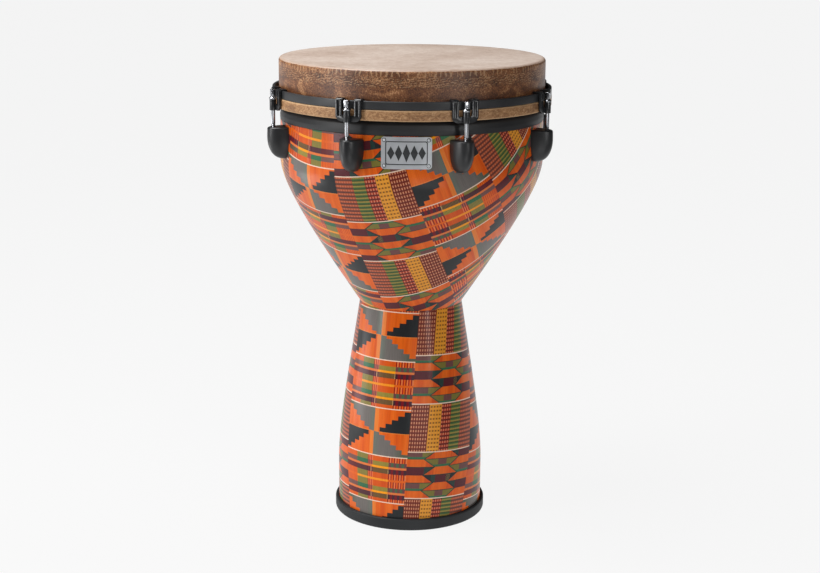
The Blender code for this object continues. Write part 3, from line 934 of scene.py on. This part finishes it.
def make_shell(cloth, fibre, lacquer, rubber):
    outer = bowl_side()
    bowl = turned("printed_bowl", outer + inner_side(outer), 160)
    total = arc_lengths(outer)[-1]
    seam = BOWL_CLOTH_LEVEL + math.pi
    lay_cloth(bowl, outer, lambda angle, gone: bowl_cloth(angle, total - gone), seam)
    finish_piece(bowl, cloth, "shell", "printed_shell", "bowl_shell")
    inside_faces(bowl, fibre)

    outer = stem_side()
    stem = turned("printed_stem", outer + inner_side(outer), 160)
    seam = STEM_CLOTH_LEVEL + math.pi
    lay_cloth(stem, outer, stem_cloth, seam)
    finish_piece(stem, cloth, "shell", "printed_shell", "stem_shell")
    inside_faces(stem, fibre)

    edge = HEAD_RADIUS - 1.4 * MM
    seat = RIM_Z + GAP
    ring = rounded(
        [
            (edge, HEAD_TOP - 2.1 * MM, 2.2 * MM),
            (edge, 604 * MM, 3 * MM),
            (NECK_RADIUS, 580 * MM, 3 * MM),
            (NECK_RADIUS, 573 * MM, 1 * MM),
            (171.5 * MM, 571.5 * MM, 4 * MM),
            (175.6 * MM, 566.5 * MM, 6 * MM),
            (edge + 0.3 * MM, 560 * MM, 6 * MM),
            (edge + 0.3 * MM, seat, 0.8 * MM),
            (171.3 * MM, seat, 0),
            (171.3 * MM, RIM_Z - 17 * MM, 0.4 * MM),
            (NECK_RADIUS - WALL, RIM_Z - 12 * MM, 0),
            (NECK_RADIUS - WALL, 584 * MM, 2 * MM),
            (edge - WALL, 607 * MM, 2 * MM),
            (edge - WALL, 624 * MM, 2 * MM),
        ],
        steps=5,
    )
    finish_piece(
        turned("bearing_ring", ring, 160), lacquer, "shell", "black_ring", "bearing_edge_ring"
    )

    outside, inside = FOOT_RADIUS + 0.6 * MM, FOOT_RADIUS - WALL - 0.6 * MM
    channel = rounded(
        [
            (FOOT_RING_RADIUS, FOOT_RING_TOP, 2.4 * MM),
            (FOOT_RING_RADIUS, 0, 2.6 * MM),
            (inside - 3.5 * MM, 0, 1 * MM),
            (inside - 3.5 * MM, 10 * MM, 1 * MM),
            (inside, 10 * MM, 0.4 * MM),
            (inside, 3 * MM, 0),
            (outside, 3 * MM, 0),
            (outside, FOOT_RING_TOP, 0.4 * MM),
        ],
        steps=5,
    )
    finish_piece(turned("foot_rubber_ring", channel, 160), rubber, "shell", "foot_rubber", "foot_ring")
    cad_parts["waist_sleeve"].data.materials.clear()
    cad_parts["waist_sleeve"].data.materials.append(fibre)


# ---------------------------------------------------------------- head and hoops

def make_head(film, band, coat):
    thick = 0.9 * MM
    corner = 4.4 * MM
    skin = [(0.02 * MM, HEAD_TOP)]
    skin += [(HEAD_RADIUS * k / 12, HEAD_TOP) for k in range(1, 12)]
    for k in range(8):
        turn = k / 7 * math.pi / 2
        skin.append(
            (
                HEAD_RADIUS - corner + corner * math.sin(turn),
                HEAD_TOP - corner + corner * math.cos(turn),
            )
        )
    skin += [(HEAD_RADIUS, HEAD_TOP - d * MM) for d in (8, 18, 28, 36, 42, 48, 54)]
    skin += [(HEAD_RADIUS, SKIRT_Z), (HEAD_RADIUS - thick, SKIRT_Z)]
    skin += [(HEAD_RADIUS - thick, HEAD_TOP - d * MM) for d in (54, 36, 18)]
    skin += [(HEAD_RADIUS - thick, HEAD_TOP - corner - 0.3 * MM)]
    skin += [(HEAD_RADIUS - corner - 0.4 * MM, HEAD_TOP - thick), (0.02 * MM, HEAD_TOP - thick)]
    head = turned("head_skin", skin, 160, closed=False, smooth=50)
    head.data.materials.clear()
    head.data.materials.append(film)
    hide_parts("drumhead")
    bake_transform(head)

    inner = 178.2 * MM
    section = rounded(
        [
            (BAND_RADIUS, BAND_HIGH, 1.2 * MM),
            (BAND_RADIUS, BAND_LOW, 1.6 * MM),
            (inner, BAND_LOW, 1 * MM),
            (inner, BAND_HIGH, 0),
        ],
        steps=4,
    )
    finish_piece(turned("flesh_hoop_band", section, 160), band, "head_hoops", "tan_band", "flesh_hoop")

    inner = 182.4 * MM
    section = rounded(
        [
            (HOOP_RADIUS, HOOP_HIGH, 0.9 * MM),
            (HOOP_RADIUS, HOOP_LOW, 0.7 * MM),
            (inner, HOOP_LOW, 0.5 * MM),
            (inner, HOOP_HIGH, 0.9 * MM),
        ],
        steps=4,
    )
    finish_piece(
        turned("black_counterhoop", section, 160), coat, "head_hoops", "black_metal", "counterhoop"
    )


# ---------------------------------------------------------------- tuning stations

def make_brackets(coat):
    """Two-pronged hooks over the counterhoop, with a channel in each prong and a barrel between."""
    face = 187.2 * MM
    plate = face + 3 * MM
    lip_in, lip_out = HEAD_RADIUS + 0.9 * MM, HEAD_RADIUS + 3.1 * MM
    hoop_top = HOOP_HIGH + GAP
    side_view = rounded(
        [
            (plate, BRACKET_LOW, 0),
            (plate, BRACKET_HIGH, 3 * MM),
            (lip_in, BRACKET_HIGH, 2.5 * MM),
            (lip_in, hoop_top - 5 * MM, 0),
            (lip_out, hoop_top - 5 * MM, 0),
            (lip_out, hoop_top, 0.6 * MM),
            (face, hoop_top, 0.5 * MM),
            (face, BRACKET_LOW, 0),
        ]
    )
    half = 17.5 * MM
    body = prism("bracket", [(x, -half - MM, z) for x, z in side_view], (0, 2 * (half + MM), 0))
    prong = 8.9 * MM
    between = half - prong
    crossbar = BRACKET_LOW + 7.5 * MM
    over = BRACKET_HIGH + 2 * MM
    front_view = rounded(
        [
            (-half, over, 0),
            (-half, BRACKET_LOW, 8 * MM),
            (half, BRACKET_LOW, 8 * MM),
            (half, over, 0),
            (between, over, 0),
            (between, crossbar, 2.4 * MM),
            (-between, crossbar, 2.4 * MM),
            (-between, over, 0),
        ]
    )
    start = lip_in - 5 * MM
    claw = prism("claw", [(start, y, z) for y, z in front_view], (plate - start + 5 * MM, 0, 0))
    join_or_cut(body, "INTERSECT", claw)
    for side in (-1, 1):
        middle = side * (half - prong / 2)
        channel = box(
            "channel",
            (plate - 1.9 * MM, middle - 1.7 * MM, crossbar - 1 * MM),
            (plate + 2 * MM, middle + 1.7 * MM, BRACKET_HIGH - 2.8 * MM),
        )
        join_or_cut(body, "DIFFERENCE", channel)
        groove = box(
            "groove",
            (lip_in - 2 * MM, middle - 1.4 * MM, BRACKET_HIGH - 1.1 * MM),
            (plate - 1.6 * MM, middle + 1.4 * MM, BRACKET_HIGH + 2 * MM),
        )
        join_or_cut(body, "DIFFERENCE", groove)
    barrel_top = ROD_SEAT - GAP
    barrel = rod("barrel", 4.4 * MM, (ROD_CIRCLE, 0, BRACKET_LOW), (ROD_CIRCLE, 0, barrel_top), 32)
    web = box(
        "web",
        (face + MM, -3.9 * MM, BRACKET_LOW + 0.6 * MM),
        (ROD_CIRCLE, 3.9 * MM, crossbar - 0.5 * MM),
    )
    join_or_cut(body, "UNION", barrel)
    join_or_cut(body, "UNION", web)
    bore = rod(
        "bore",
        ROD_RADIUS + GAP,
        (ROD_CIRCLE, 0, BRACKET_LOW - 10 * MM),
        (ROD_CIRCLE, 0, barrel_top + 10 * MM),
        32,
    )
    join_or_cut(body, "DIFFERENCE", bore)
    soften(body, 0.35 * MM)
    station_copies(body, "hook_bracket", coat, "head_hoops", "black_metal", "hoop_bracket")


def make_rods(chrome):
    """Tension rods: a waisted collar under the square head, and a thread on the lower end."""
    pitch = 1.058 * MM
    thread_top = 553 * MM
    outline = [
        (0.3 * MM, ROD_SEAT + 7 * MM),
        (2.7 * MM, ROD_SEAT + 7 * MM),
        (2.8 * MM, ROD_SEAT + 5 * MM),
        (3.1 * MM, ROD_SEAT + 3.6 * MM),
        (3.9 * MM, ROD_SEAT + 2.4 * MM),
        (4.75 * MM, ROD_SEAT + 1.6 * MM),
        (5 * MM, ROD_SEAT + 1.2 * MM),
        (5 * MM, ROD_SEAT + 0.3 * MM),
        (4.8 * MM, ROD_SEAT),
        (ROD_RADIUS, ROD_SEAT),
    ]
    height = thread_top
    outline.append((ROD_RADIUS, height))
    while height > ROD_TIP + 2 * MM:
        outline.append((ROD_RADIUS - 0.4 * MM, height - pitch / 2))
        outline.append((ROD_RADIUS, height - pitch))
        height -= pitch
    outline += [(1.8 * MM, ROD_TIP), (0.3 * MM, ROD_TIP)]
    shaft = turned("rod", outline, 24, closed=False, smooth=40)
    shaft.location.x = ROD_CIRCLE
    apply_place(shaft)
    half = 3.1 * MM
    head = box(
        "head",
        (ROD_CIRCLE - half, -half, ROD_SEAT + 4.2 * MM),
        (ROD_CIRCLE + half, half, ROD_TOP),
    )
    soften(head, 0.7 * MM, segments=3)
    join_or_cut(shaft, "UNION", head)
    choose_only(shaft)
    bpy.ops.object.shade_smooth_by_angle(angle=math.radians(40))
    station_copies(shaft, "key_rod", chrome, "rod_{}", "chrome_rod", "tension_rod")


def make_casings(satin):
    """Bullet-shaped casings, hollow at the back for the nut."""
    fullness = 2.6
    half_width, depth, back = 15.5 * MM, 26 * MM, 176 * MM
    height = CASING_HIGH - CASING_LOW
    corner = 2.4 * MM
    draw_in = 0.7 * MM
    top_radius = half_width - draw_in
    outline = [(0.05 * MM, CASING_HIGH), (top_radius * 0.6, CASING_HIGH)]
    for k in range(7):
        turn = k / 6 * math.pi / 2
        outline.append(
            (
                top_radius - corner + corner * math.sin(turn),
                CASING_HIGH - corner + corner * math.cos(turn),
            )
        )
    steps = 20
    for k in range(1, steps):
        turn = k / steps * math.pi / 2
        above = max(0, 1 - 3 * k / steps)
        outline.append(
            (
                half_width * math.cos(turn) ** (2 / fullness) - draw_in * above**2,
                CASING_HIGH - corner - (height - corner) * math.sin(turn) ** (2 / fullness),
            )
        )
    outline.append((0.05 * MM, CASING_LOW))
    casing = turned("casing", outline, 56, closed=False, smooth=40)
    casing.location.x = back
    casing.scale.x = depth / half_width
    apply_place(casing)
    bowl_form = [(RIM_RADIUS + GAP, RIM_Z + 5 * MM)]
    bowl_form += [(r + GAP, z) for r, z in bowl_side()[:12]]
    form = turned("form", bowl_form, 96, closed=False)
    join_or_cut(casing, "DIFFERENCE", form)
    pocket = box(
        "pocket",
        (back - 6 * MM, -4.9 * MM, 530.7 * MM),
        (ROD_CIRCLE + 5.6 * MM, 4.9 * MM, 545.3 * MM),
    )
    join_or_cut(casing, "DIFFERENCE", pocket)
    way = rod("way", 3.35 * MM, (ROD_CIRCLE, 0, 522 * MM), (ROD_CIRCLE, 0, CASING_HIGH + 9 * MM), 28)
    join_or_cut(casing, "DIFFERENCE", way)
    choose_only(casing)
    bpy.ops.object.shade_smooth_by_angle(angle=math.radians(38))
    station_copies(casing, "bullet_casing", satin, "shell", "lug_black", "lug_casing")


# ---------------------------------------------------------------- badge

def bend_round(obj, radius):
    """Bends a piece made flat against the plane y = 0 round the shell's front."""
    across = [vertex.co.x for vertex in obj.data.vertices]
    turn = (max(across) - min(across)) / radius
    use(obj, "SIMPLE_DEFORM", deform_method="BEND", deform_axis="Z", angle=turn)
    obj.location.y = -radius
    apply_place(obj)


def cut_and_bend(panel, half, strips):
    """Cuts a flat panel into upright strips and bends it round the shell."""
    open_mesh(panel)
    for k in range(1, strips):
        bpy.ops.mesh.select_all(action="SELECT")
        bpy.ops.mesh.bisect(plane_co=(-half + 2 * half * k / strips, 0, 0), plane_no=(1, 0, 0))
    close_mesh(panel)
    bend_round(panel, BELLY_RADIUS)


def badge_panel(name, outline, back, front, strips=24):
    """A thin plate with a rounded outline, bent round the shell."""
    plate = prism(name, [(x, -back, z) for x, z in outline], (0, back - front, 0))
    cut_and_bend(plate, max(x for x, z in outline), strips)
    return plate


def make_badge(metal, enamel):
    """A plain badge: a raised border round a row of diamonds."""
    half = 31.75 * MM
    low, high = BADGE_LOW.z, BADGE_HIGH.z
    corner = 3.8 * MM
    back, front = 0.35 * MM, 1.25 * MM

    def frame_outline(inset, radius):
        left, right = -half + inset, half - inset
        bottom, top = low + inset, high - inset
        corners = [
            (left, bottom, radius),
            (right, bottom, radius),
            (right, top, radius),
            (left, top, radius),
        ]
        return rounded(corners, steps=5)

    plate = badge_panel("badge_face", frame_outline(0, corner), back, front)
    soften(plate, 0.2 * MM, segments=2, angle=50)
    finish_piece(plate, metal, "shell", "badge_metal", "badge_plate")

    rim_out, rim_in = frame_outline(5.4 * MM, 2.4 * MM), frame_outline(6.6 * MM, 1.6 * MM)
    rim = prism("badge_border", [(x, -front + 0.2 * MM, z) for x, z in rim_out], (0, -0.4 * MM, 0))
    hole = prism("hole", [(x, 0, z) for x, z in rim_in], (0, -4 * MM, 0))
    join_or_cut(rim, "DIFFERENCE", hole)
    cut_and_bend(rim, half, 24)
    finish_piece(rim, enamel, "shell", "badge_metal")

    middle = (low + high) / 2
    for number, k in enumerate(range(-2, 3), start=1):
        tall = (11.5 - 1.6 * abs(k)) * MM
        wide = 4.6 * MM
        x = k * 9.7 * MM
        points = [(x - wide, middle), (x, middle - tall), (x + wide, middle), (x, middle + tall)]
        diamond = badge_panel(f"badge_diamond_{number}", points, front - 0.1 * MM, front + 0.25 * MM, 1)
        finish_piece(diamond, enamel, "shell", "badge_metal")

    inset = 4 * MM
    spread = half - inset
    washer_radius, stud_radius = 2.6 * MM, 1.9 * MM
    number = 0
    for height in (low + inset, high - inset):
        for side in (-1, 1):
            number += 1
            turns = [TAU * k / 20 for k in range(20)]
            seat = [
                (side * spread + washer_radius * math.cos(t), height + washer_radius * math.sin(t))
                for t in turns
            ]
            washer = badge_panel(f"badge_washer_{number}", seat, front - 0.1 * MM, front + 0.15 * MM, 4)
            finish_piece(washer, enamel, "shell", "badge_metal")
            leave_all()
            bpy.ops.mesh.primitive_uv_sphere_add(segments=20, ring_count=12, radius=stud_radius)
            stud = bpy.context.object
            stud.name = f"badge_stud_{number}"
            open_mesh(stud)
            bpy.ops.mesh.select_all(action="SELECT")
            bpy.ops.mesh.bisect(
                plane_co=(0, 0.3 * MM, 0), plane_no=(0, 1, 0), clear_outer=True, use_fill=True
            )
            close_mesh(stud, 50)
            stud.scale.y = 0.7
            stud.location = (side * spread, -front - 0.1 * MM, height)
            apply_place(stud)
            bend_round(stud, BELLY_RADIUS)
            finish_piece(stud, metal, "shell", "badge_metal", f"badge_rivet_{number}")


# ---------------------------------------------------------------- stage

def make_stage():
    leave_all()
    bpy.ops.mesh.primitive_plane_add(size=90, location=(0, 0, 0))
    floor = bpy.context.object
    floor.name = "studio_floor"
    floor.data.materials.append(pale_floor())

    world = bpy.data.worlds.new("studio")
    bpy.context.scene.world = world
    world.use_nodes = True
    world.node_tree.nodes["Background"].inputs[0].default_value = (1, 1, 1, 1)
    world.node_tree.nodes["Background"].inputs[1].default_value = 0.06

    drum_middle = Vector((0, 0, 0.38))
    for name, place, size, power in (
        ("left_softbox", (-2.2, -1.15, 1.05), (0.5, 1.7), 27),
        ("front_softbox", (1.6, -2.0, 1.0), (0.3, 1.5), 14),
        ("fill_softbox", (0.4, -3.0, 2.0), (1.6, 1.0), 7),
        ("top_softbox", (-0.9, -0.15, 2.3), (1.2, 1.2), 52),
        ("left_card", (-0.98, 0.06, 0.1), (0.5, 0.22), 1.2),
        ("front_card", (0.26, -0.86, 0.1), (0.5, 0.34), 0.9),
    ):
        light = bpy.data.lights.new(name, "AREA")
        light.shape = "RECTANGLE"
        light.size, light.size_y = size
        light.energy = power
        lamp = bpy.data.objects.new(name, light)
        bpy.context.scene.collection.objects.link(lamp)
        lamp.location = place
        aim = drum_middle - Vector(place)
        lamp.rotation_euler = aim.to_track_quat("-Z", "Y").to_euler()

    camera = bpy.data.cameras.new("camera")
    camera.lens = 69.66
    camera.sensor_width = 36
    camera.shift_x = -0.001
    camera.clip_end = 200
    viewer = bpy.data.objects.new("camera", camera)
    bpy.context.scene.collection.objects.link(viewer)
    distance, height = 2.1287, 0.8472
    pitch, roll = math.radians(13.956), math.radians(0.347)
    viewer.matrix_world = (
        Matrix.Translation(
            (distance * math.sin(CAMERA_TURN), -distance * math.cos(CAMERA_TURN), height)
        )
        @ Matrix.Rotation(CAMERA_TURN, 4, "Z")
        @ Matrix.Rotation(math.pi / 2 - pitch, 4, "X")
        @ Matrix.Rotation(roll, 4, "Z")
    )
    bpy.context.scene.camera = viewer
    bpy.context.scene.view_settings.view_transform = "Standard"


lacquer = black_lacquer()
fibre = bare_fibre()
make_shell(printed_cloth(), fibre, lacquer, foot_rubber())
make_head(head_skin(), tan_band(), powder_coat("black hoop paint", 0.42))
make_brackets(powder_coat("gloss black paint", 0.7))
make_rods(plated("bright chrome", srgb(150, 152, 157), srgb(184, 186, 190), 0.14))
make_casings(satin_casing())
make_badge(badge_metal(), badge_enamel())

brass = plated("machined brass", srgb(176, 140, 70), srgb(206, 170, 96), 0.28)
zinc = plated("zinc plating", srgb(150, 152, 156), srgb(186, 188, 192), 0.3)
for number in range(1, STATION_COUNT + 1):
    for node, material in ((f"lug_nut_{number}", brass), (f"lug_screw_{number}", zinc)):
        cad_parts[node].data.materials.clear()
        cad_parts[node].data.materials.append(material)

make_stage()
